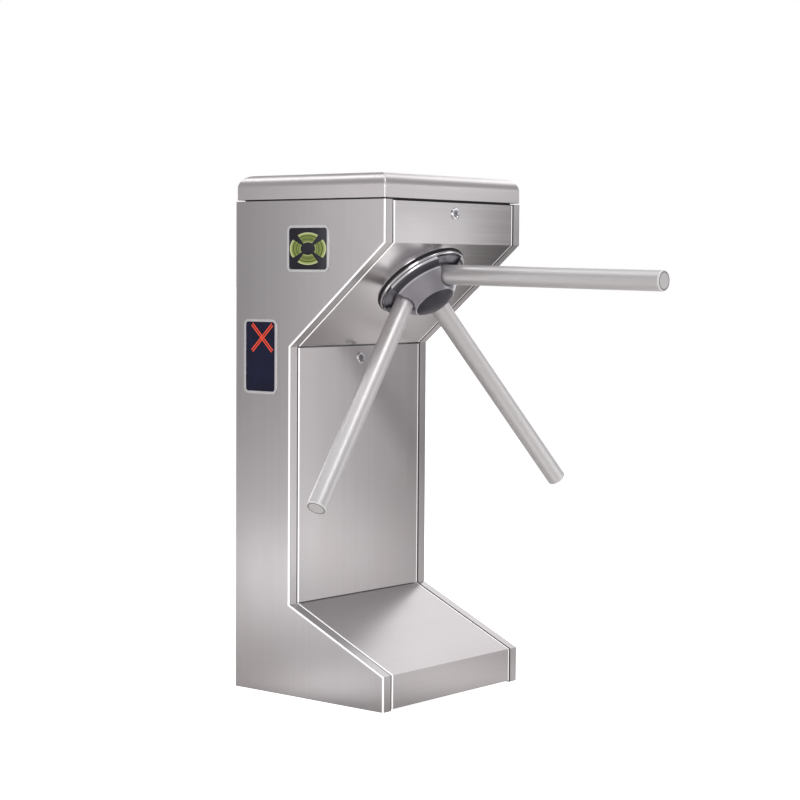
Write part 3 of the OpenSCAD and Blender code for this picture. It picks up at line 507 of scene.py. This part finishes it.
def sweep(bm, line, profile, pierce=None, polished=(), painted_shade_steps=()):
    """Carries the profile of (x, depth) points along the line.

    pierce maps a profile step and a line step to holes. Profile steps marked for the painted highlight take
    the second material and those marked for painted shade the third."""
    rings = [[Vector((x, p.x, p.y)) for p in inset(line, d)] for x, d in profile]
    for i in range(len(rings) - 1):
        for j in range(len(line) - 1):
            corners = [rings[i][j], rings[i][j + 1], rings[i + 1][j + 1], rings[i + 1][j]]
            holes = (pierce or {}).get((i, j))
            if holes:
                pierced(bm, corners, holes)
            else:
                face = bm.faces.new([bm.verts.new(c) for c in corners])
                face.material_index = 1 if i in polished else 2 if i in painted_shade_steps else 0


def finish_mesh(bm, name, material, body, outward=None, thickness=0.0, replaces=(), soft=0.0):
    """Welds, orients and links a mesh, and makes it ride on its body.

    outward is a point that the face nearest to it looks at. material may be a list."""
    bmesh.ops.remove_doubles(bm, verts=bm.verts, dist=WELD)
    bmesh.ops.dissolve_limit(bm, angle_limit=math.radians(0.5), verts=bm.verts, edges=bm.edges,
                             delimit={"NORMAL", "MATERIAL"})
    bmesh.ops.recalc_face_normals(bm, faces=bm.faces)
    if outward is not None:
        nearest = min(bm.faces, key=lambda f: (f.calc_center_median() - outward).length)
        if nearest.normal.dot(outward - nearest.calc_center_median()) < 0:
            bmesh.ops.reverse_faces(bm, faces=bm.faces)
    mesh = bpy.data.meshes.new(name)
    bm.to_mesh(mesh)
    bm.free()
    for each in material if isinstance(material, list) else [material]:
        mesh.materials.append(each)
    mesh.polygons.foreach_set("use_smooth", [True] * len(mesh.polygons))
    mesh.set_sharp_from_angle(angle=EDGE)
    o = bpy.data.objects.new(name, mesh)
    bpy.context.scene.collection.objects.link(o)
    if thickness:
        modify(o, "thickness", "SOLIDIFY", thickness=thickness, offset=-1, use_even_offset=True)
    if soft:
        modify(o, "soft_edge", "BEVEL", width=soft, harden_normals=True, **BEVELLED)
    modify(o, "flat_faces", "WEIGHTED_NORMAL", mode="FACE_AREA", weight=80, keep_sharp=True)
    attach(o, body)
    if replaces:
        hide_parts(*replaces)


FOLD_R = 2.8 * MM       # fold between the flat side and the strip
LIP_R = 1.6 * MM        # fold between the strip and its lip
EDGE_LINE = 0.9 * MM    # painted shade line along each side of the strip


def side_shell(side, name):
    """Folded side sheet: flat side with two windows, a rounded fold, the facing strip and its lip."""
    profile = [(side * (HALF_W - u), v) for u, v in (
        *quarter(FOLD_R, FOLD_R, FOLD_R, 180, 270),
        (FOLD_R + EDGE_LINE, 0), (STRIP_W - LIP_R - EDGE_LINE, 0),
        *quarter(STRIP_W - LIP_R, LIP_R, LIP_R, 270, 360), (STRIP_W, LIP))]
    # dark: the band beside the fold, the strip's inner band, its lip bend and lip, all painted with shade
    dark = [FOLD_STEPS, *range(FOLD_STEPS + 2, len(profile) - 1)]
    bm = bmesh.new()
    # The rounded fold wears the painted highlight.
    sweep(bm, FRONT_LINE, profile, polished=range(FOLD_STEPS), painted_shade_steps=dark)
    x = side * HALF_W
    rim = [Vector((x, p.x, p.y)) for p in inset(FRONT_LINE, FOLD_R)]
    outline = rim + [Vector((x, BACK_Y, BODY_TOP)), Vector((x, BACK_Y, 0))]
    holes = [[Vector((x, c[0] + u, c[1] + v)) for u, v in round_rect(*size, WINDOW_R)]
             for c, size in ((READER_C, READER_SIZE), (DISPLAY_C, DISPLAY_SIZE))]
    pierced(bm, outline, holes)
    finish_mesh(bm, name, [M["sheet_upright"], M["fold_painted_highlight"], M["strip_painted_shade"]], "cabinet",
                Vector((side * 2, 0, 0.3)), SHEET, ["side_panel_left" if side < 0 else "side_panel_right"])


side_shell(-1, "side_shell_left")
side_shell(1, "side_shell_right")


COVER_R = 1.3 * MM      # fold between a cover and its lips
COVER_BAND = 1.8 * MM   # band beside that fold, painted as a highlight with it
# Steps of a cover's profile: the right fold and band, the flat middle, the left band and fold
COVER_RIGHT = range(1, FOLD_STEPS + 2)
COVER_MIDDLE = FOLD_STEPS + 2
COVER_LEFT = range(FOLD_STEPS + 3, 2 * FOLD_STEPS + 4)


def folded_cover(name, line, material, body, node, outward, holes=(), lip=LIP):
    """Sheet folded along the line, with a lip down each side. holes are (segment, centre, radius)."""
    bend = COVER_HALF - COVER_R
    profile = [(COVER_HALF, lip), *quarter(bend, COVER_R, COVER_R, 0, -90), (bend - COVER_BAND, 0),
               (COVER_BAND - bend, 0), *quarter(-bend, COVER_R, COVER_R, -90, -180), (-COVER_HALF, lip)]
    pierce = {}
    for segment, centre, r in holes:
        along = Vector((0, *(line[segment + 1] - line[segment]).normalized()))
        pierce.setdefault((COVER_MIDDLE, segment), []).append(circle(centre, Vector((1, 0, 0)), along, r))
    bm = bmesh.new()
    # The folds and the bands beside them wear the painted highlight.
    sweep(bm, line, profile, pierce, [*COVER_RIGHT, *COVER_LEFT])
    finish_mesh(bm, name, [material, M["fold_painted_highlight"]], body, outward, SHEET, [node])


SLOPE_OUT = V2(-math.cos(SLOPE), math.sin(SLOPE))    # up and outwards along the head's underside
SLOPE_IN = V2(math.sin(SLOPE), math.cos(SLOPE))      # square to it, into the head
HEAD_GAP = 1.2 * MM                                   # between the head cover and the column panel
head_low = V2(COLUMN_Y, COLUMN_TOP) + SLOPE_OUT * HEAD_GAP
head_line = [head_low + SLOPE_IN * 12 * MM, head_low, V2(HEAD_Y, FASCIA_LOW), V2(HEAD_Y, BODY_TOP - 2 * MM)]
folded_cover("head_shell", head_line, M["sheet_head"], "cabinet", "head_cover", Vector((0, -2, 0.9)),
             [(1, HUB, 52 * MM), (2, Vector((0, HEAD_Y, LOCK_Z)), LOCK_HOLE)])

PEG_X, PEG_Y, PEG_HOLE = 120 * MM, COLUMN_Y + 8 * MM, 5.6 * MM
base_line = [V2(FOOT_Y, 3 * MM), V2(FOOT_Y, NOSE_H), V2(COLUMN_Y, FOOT_H), V2(COLUMN_Y + 26 * MM, FOOT_H)]
folded_cover("base_shell", base_line, M["sheet_level"], "cabinet", "base_cover", Vector((0, -2, 0.05)),
             [(2, Vector((s * PEG_X, PEG_Y, FOOT_H)), PEG_HOLE) for s in (-1, 1)], 12 * MM)

PANEL_LOW, PANEL_HIGH = FOOT_H + 1.5 * MM, column_hi.z
panel_line = [V2(COLUMN_Y + LIP, PANEL_LOW), V2(COLUMN_Y, PANEL_LOW),
              V2(COLUMN_Y, PANEL_HIGH), V2(COLUMN_Y + LIP, PANEL_HIGH)]
folded_cover("column_shell", panel_line, M["sheet_upright"], "column_panel", "column_panel",
             Vector((0, -2, 0.4)), [(1, Vector((0, COLUMN_Y, PANEL_LOCK_Z)), LOCK_HOLE)], 13 * MM)


def lathe(bm, outline, place, steps=32):
    """Turns the (radius, height) points, in mm, about the Z axis of the matrix place."""
    turns = [math.tau * i / steps for i in range(steps)]
    rings = []
    for r, h in ((r * MM, h * MM) for r, h in outline):
        points = [(r * math.cos(t), r * math.sin(t), h) for t in turns] if r else [(0, 0, h)]
        rings.append([bm.verts.new(place @ Vector(q)) for q in points])
    for a, b in zip(rings, rings[1:]):
        for i in range(steps):
            j = (i + 1) % steps
            corners = [a[i % len(a)], a[j % len(a)], b[j % len(b)], b[i % len(b)]]
            face = list(dict.fromkeys(corners))
            if len(face) > 2:
                bm.faces.new(face)


PEG = [(0, -9), (2.2, -9), (3, -7.6), (3, 1), (0, 1)]
bm = bmesh.new()
for s in (-1, 1):
    lathe(bm, PEG, Matrix.Translation((s * PEG_X, PEG_Y, PANEL_LOW)))
finish_mesh(bm, "column_pegs", M["turned"], "column_panel")

# ---------------------------------------------------------------- lid
LID_R = 25 * MM              # rounded top edges
LID_LIP = 24 * MM
RIM_R = 1.6 * MM             # fold between the lid's skirt and its lip
RIM_CORNER = 3.2 * MM
RIM_ANGLES = (30, 60, 90)
LID_BAND = 12                # steps round the top edges
LID_STEPS = 4                # steps round each corner seen from above
LID_INSET = 0.5 * MM         # the lid's front and back, inside the cabinet's


def lid_ring(d, z, corner):
    """The lid's outline at height z, smaller by d on every side."""
    w, y0, y1 = lid_hi.x - d, HEAD_Y + LID_INSET + d, BACK_Y - LID_INSET - d
    return [Vector((u, (y0 + y1) / 2 + v, z)) for u, v in round_rect(2 * w, y1 - y0, corner, LID_STEPS)]


def lid_shell():
    """Pan with rounded top edges and a return lip. Its upright corners wear a lighter steel, a painted
    highlight.
    """
    rings = [(LID_LIP, RIM_Z, 0.4 * MM), (RIM_R, RIM_Z, 0.6 * MM)]
    for a in map(math.radians, RIM_ANGLES):
        rings.append((RIM_R * (1 - math.sin(a)), RIM_Z + RIM_R * (1 - math.cos(a)), RIM_CORNER))
    for i in range(LID_BAND + 1):
        a = math.radians(90 * i / LID_BAND)
        corner = (3.2 - 2.0 * i / LID_BAND) * MM
        rings.append((LID_R * (1 - math.cos(a)), lid_hi.z - LID_R + LID_R * math.sin(a), corner))
    bm = bmesh.new()
    loops = [[bm.verts.new(p) for p in lid_ring(*r)] for r in rings]
    for a, b in zip(loops, loops[1:]):
        for i in range(len(a)):
            j = (i + 1) % len(a)
            in_corner = i % (LID_STEPS + 1) != LID_STEPS
            bm.faces.new([a[i], a[j], b[j], b[i]]).material_index = int(in_corner)
    bm.faces.new(loops[-1])
    finish_mesh(bm, "lid_shell", [M["lid_steel_painted_light"], M["lid_corner_painted_highlight"]], "lid",
                Vector((0, 0, 3)), SHEET, ["lid"])


lid_shell()


KEEPER_X, KEEPER_Y = (12 * MM, 24 * MM), HEAD_Y + 43 * MM


def keeper_plate(bm, low, high):
    """A box over the keeper's width, between two (y, z) corners."""
    lo, hi = Vector((KEEPER_X[0], *low)), Vector((KEEPER_X[1], *high))
    place = Matrix.Translation((lo + hi) / 2) @ Matrix.Diagonal((*(hi - lo), 1))
    bmesh.ops.create_cube(bm, size=1, matrix=place)


bm = bmesh.new()
keeper_plate(bm, (KEEPER_Y, LOCK_Z - 9 * MM), (KEEPER_Y + 2 * MM, RIM_Z + 2 * MM))
keeper_plate(bm, (KEEPER_Y - 7 * MM, LOCK_Z - 9 * MM), (KEEPER_Y + 1 * MM, LOCK_Z - 7 * MM))
keeper_plate(bm, (HEAD_Y + LID_LIP - 0.5 * MM, RIM_Z + 0.1 * MM), (KEEPER_Y + 1 * MM, RIM_Z + 2.1 * MM))
finish_mesh(bm, "lid_keeper", M["zinc"], "lid", soft=0.3 * MM)

# ---------------------------------------------------------------- hinge screws, hub shield, side rails
HINGE_X, SCREW_X = 120 * MM, 20 * MM
HINGE_Z = RIM_Z - 1 * MM
SCREW_HEAD = [(0, -4), (2.4, -4), (2.4, 0), (4.6, 0.05), (4.6, 0.5), (3.9, 1.2), (2.9, 1.7), (1.8, 1.8),
              (1.5, 1.6), (1.5, 0.4), (0, 0.3)]      # radius and height, mm


def screw_heads(name, body, z, material):
    """Raised heads with a round socket, on the outside of a hinge leaf."""
    bm = bmesh.new()
    for s in (-1, 1):
        for t in (-1, 1):
            at = Matrix.Translation((s * HINGE_X + t * SCREW_X, BACK_Y + 2 * MM, z))
            lathe(bm, SCREW_HEAD, at @ Matrix.Rotation(-math.pi / 2, 4, "X"), 24)
    finish_mesh(bm, name, material, body)


screw_heads("hinge_screws_lower", "cabinet", HINGE_Z - 16 * MM, M["turned"])
screw_heads("hinge_screws_upper", "lid", HINGE_Z + 14 * MM, M["turned"])

ROTOR = Matrix.Translation(HUB) @ Matrix((Vector((1, 0, 0)), UPSLOPE, AXIS)).transposed().to_4x4()
SHIELD = [(64.4, 10.6), (66.5, 12.8), (70, 14.2), (74, 13.9), (79, 12.0), (83, 10.5), (86.2, 9.3)]
bm = bmesh.new()
lathe(bm, SHIELD, ROTOR, 96)
finish_mesh(bm, "hub_shield", M["shield"], "rotor", HUB + AXIS * 500 * MM, 0.8 * MM)


def in_rotor_frame(x, y, z):
    return HUB + Vector((x, 0, 0)) + UPSLOPE * y + AXIS * z


RAIL_Y = (-115, 80)          # ends in the rotor's frame, mm
RAIL_FLANGES = (((160, -20), (204, -17)), ((202, -40), (205, -17)))    # (x, z) corners of each, mm


def side_rail(side, name):
    """Angle that carries the mechanism plate, welded inside the side sheet."""
    bm = bmesh.new()
    for low, high in RAIL_FLANGES:
        for v in bmesh.ops.create_cube(bm, size=1)["verts"]:
            x, z = (low if v.co.x < 0 else high)[0], (low if v.co.z < 0 else high)[1]
            v.co = in_rotor_frame(side * x * MM, RAIL_Y[v.co.y > 0] * MM, z * MM)
    finish_mesh(bm, name, M["zinc"], "cabinet", soft=0.4 * MM)


side_rail(-1, "mechanism_rail_left")
side_rail(1, "mechanism_rail_right")

# ---------------------------------------------------------------- camera
YAW, PITCH, ROLL = 0.8758763, 0.0634870, -0.0068456      # right of straight ahead, downwards, tilt; radians
CAMERA_AT = (-3.09914, -2.63883, 0.82278)
LENS, SENSOR = 93.05, 36

look = Vector((math.sin(YAW) * math.cos(PITCH), math.cos(YAW) * math.cos(PITCH), -math.sin(PITCH)))
level = Vector((math.cos(YAW), -math.sin(YAW), 0))
down = look.cross(level)
right = level * math.cos(ROLL) + down * math.sin(ROLL)
below = down * math.cos(ROLL) - level * math.sin(ROLL)
camera = bpy.data.objects.new("camera", bpy.data.cameras.new("camera"))
bpy.context.scene.collection.objects.link(camera)
camera.matrix_world = Matrix.Translation(CAMERA_AT) @ Matrix((right, -below, -look)).transposed().to_4x4()
camera.data.sensor_width, camera.data.lens = SENSOR, LENS
camera.data.clip_start, camera.data.clip_end = 0.05, 200
bpy.context.scene.camera = camera

# ---------------------------------------------------------------- floor, world and lights
# Floor patches: centre, reach and strength. The camera sees the floor white; the reflections see these too.
GLOW = (((-0.38, 0.05, 0), 0.24, 0.7), ((0.12, -0.36, 0), 0.34, 0.5), ((0.88, -0.08, 0), 0.24, 1.7))
# A painted shadow on the floor: its centre, core, reach and depth
PAINTED_SHADOW_AT, PAINTED_SHADOW_CORE, PAINTED_SHADOW_REACH, PAINTED_SHADOW_DEPTH = (1.32, 0.02, 0), 0.12, 0.36, 0.9

bm = bmesh.new()
bmesh.ops.create_grid(bm, x_segments=1, y_segments=1, size=60)
floor_mesh = bpy.data.meshes.new("floor")
bm.to_mesh(floor_mesh)
bm.free()
floor = bpy.data.objects.new("floor", floor_mesh)
bpy.context.scene.collection.objects.link(floor)
paper = Shader("floor", (0.70, 0.68, 0.665), 0.0, 0.8, **{"Emission Color": (1, 1, 1, 1)})
glow = paper.node("LightPath").outputs["Is Camera Ray"]
for spot, reach, strength in GLOW:
    glow = paper.math("ADD", glow, paper.span(paper.point_distance(spot), strength, 0.0, 0.0, reach))
tone = paper.mix(paper.span(paper.noise(2, paper.coords()), 0, 1), (0.69, 0.67, 0.655), (0.71, 0.69, 0.675))
# The floor's colour darkens towards black round that centre: painted shadow
shadow = paper.span(paper.point_distance(PAINTED_SHADOW_AT), PAINTED_SHADOW_DEPTH, 0.0, PAINTED_SHADOW_CORE, PAINTED_SHADOW_REACH)
paper.set(paper.out, {"Emission Strength": glow, "Base Color": paper.mix(shadow, tone, (0, 0, 0))})
floor_mesh.materials.append(paper.material)

# The world is white to the camera and a soft grey light to everything else
world = bpy.data.worlds.new("studio")
bpy.context.scene.world = world
world.use_nodes = True
tree = world.node_tree
background = tree.nodes["Background"]
background.inputs["Color"].default_value = (0.975, 0.97, 1, 1)
background.inputs["Strength"].default_value = 0.42
backdrop = tree.nodes.new("ShaderNodeBackground")
backdrop.inputs["Color"].default_value = (1, 1, 1, 1)
seen = tree.nodes.new("ShaderNodeLightPath")
either = tree.nodes.new("ShaderNodeMixShader")
tree.links.new(seen.outputs["Is Camera Ray"], either.inputs[0])
tree.links.new(background.outputs[0], either.inputs[1])
tree.links.new(backdrop.outputs[0], either.inputs[2])
tree.links.new(either.outputs[0], tree.nodes["World Output"].inputs[0])


def card(name, at, target, size, power):
    """Soft rectangular studio light, unseen by the camera, that shines from at towards target."""
    data = bpy.data.lights.new(name, "AREA")
    data.shape, data.size, data.size_y = "RECTANGLE", *size
    data.energy = power
    o = bpy.data.objects.new(name, data)
    o.location = at
    o.rotation_mode = "QUATERNION"
    o.rotation_quaternion = (Vector(target) - Vector(at)).to_track_quat("-Z", "Y")
    o.visible_camera = False
    bpy.context.scene.collection.objects.link(o)


card("key", (-2.3, -2.2, 0.85), (0, 0, 0.6), (1.0, 1.7), 27)
card("front_right", (0.88, -1.1, 0.52), (0, 0, 0.5), (0.45, 0.92), 1.25)
card("front_low", (0.75, -1.0, 0.08), (0, -0.2, 0.03), (0.7, 0.14), 0.3)
card("lid_front", (0.9, -0.95, 1.12), (0, -0.1, 0.97), (0.4, 0.2), 0.3)
card("left_back", (-1.5, 0.8, 0.8), (-0.2, 0, 0.6), (0.5, 1.1), 1.5)
card("left_low", (-0.95, 0.5, 0.11), (-0.2, 0, 0.05), (0.6, 0.18), 0.35)
card("left_far", (-1.5, 1.3, 0.16), (-0.2, 0.2, 0.1), (0.8, 0.3), 0.35)
card("slope_light", (2.2, 1.1, 1.9), (0, -0.1, 0.2), (1.4, 1.2), 5.4)
card("arm_light", (-0.1, -1.4, 2.6), (0, -0.4, 0.6), (0.8, 0.8), 9)
card("lid_right", (1.7, -0.1, 2.3), (0, 0, 1), (0.9, 0.9), 3.5)
card("lid_back", (-0.3, 1.6, 2.7), (0, 0, 1), (0.9, 0.9), 4.5)
card("back_fill", (0.6, 3.2, 1.3), (0, 0, 0.6), (1.6, 1.6), 14)
card("right_fill", (3.0, 0.4, 1.0), (0, 0, 0.6), (1.4, 1.4), 7)
card("top", (-0.2, 0.2, 3.0), (0, 0, 0.5), (2.0, 2.0), 8)

bpy.context.scene.view_settings.view_transform = "Standard"
